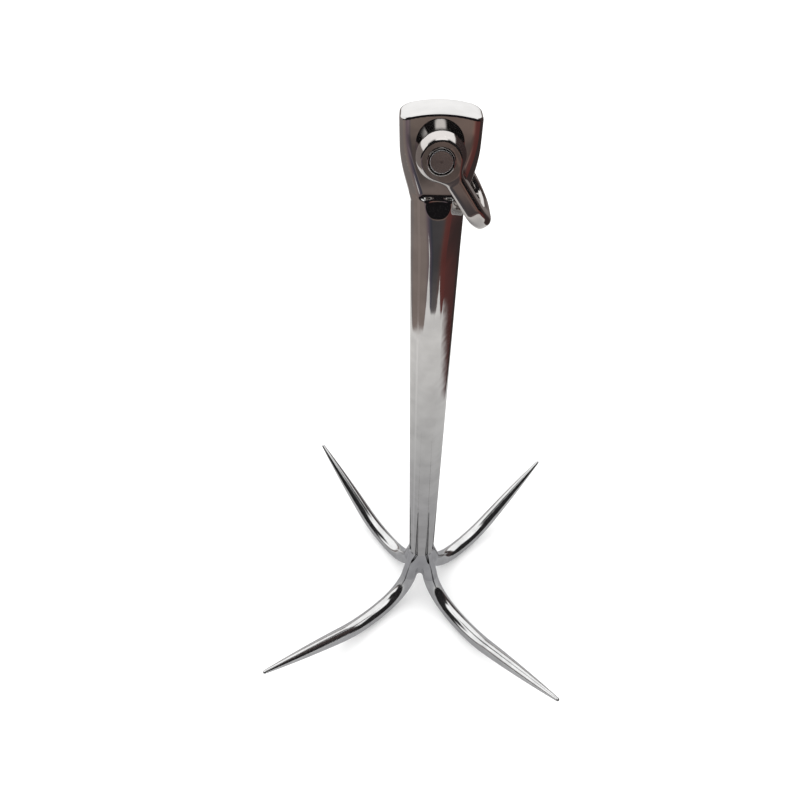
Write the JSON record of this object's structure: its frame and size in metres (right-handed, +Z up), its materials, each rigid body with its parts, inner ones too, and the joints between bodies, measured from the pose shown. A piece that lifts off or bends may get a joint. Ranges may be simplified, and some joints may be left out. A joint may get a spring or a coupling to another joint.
{
  "type": "grapnel anchor",
  "caption": "Polished stainless steel grapnel anchor: octagonal shank, fixed J-shaped flukes bent up to points, and a screw-pin D shackle through a flat-milled head.",
  "frame": {"origin": "on the floor under the shank's axis, with the anchor standing on the undersides of its flukes", "axes": "+Z up along the shank; the front, -Y, is the side where the shackle pin's thread ends, and the flukes lie near the diagonals between X and Y, turned 5 degrees from them about Z (clockwise seen from above)"},
  "size_m": [0.2536, 0.2536, 0.446],
  "materials": {
    "shank_steel": "mirror-polished stainless steel",
    "crown_steel": "polished stainless steel, faintly satin over the ground welds",
    "fluke_steel": "mirror-polished stainless steel",
    "shackle_steel": "tumble-polished stainless steel",
    "pin_steel": "turned stainless steel with fine lathe marks"
  },
  "bodies": {
    "anchor_body": {"shank": "shank_steel", "crown": "crown_steel", "fluke_front_left": "fluke_steel", "fluke_front_right": "fluke_steel", "fluke_back_left": "fluke_steel", "fluke_back_right": "fluke_steel"},
    "shackle": {"shackle_bow": "shackle_steel"},
    "pin": {"shackle_pin": "pin_steel"}
  },
  "joints": [
    {"name": "shackle_swing", "type": "hinge", "parent": "anchor_body", "child": "shackle", "pos_m": [0, 0, 0.4309], "axis": [0, -1, 0], "range_deg": [-6, 298.8]},
    {"name": "pin_turn", "type": "hinge", "parent": "shackle", "child": "pin", "pos_m": [0, 0, 0.4309], "axis": [0, 1, 0], "continuous": true}
  ]
}
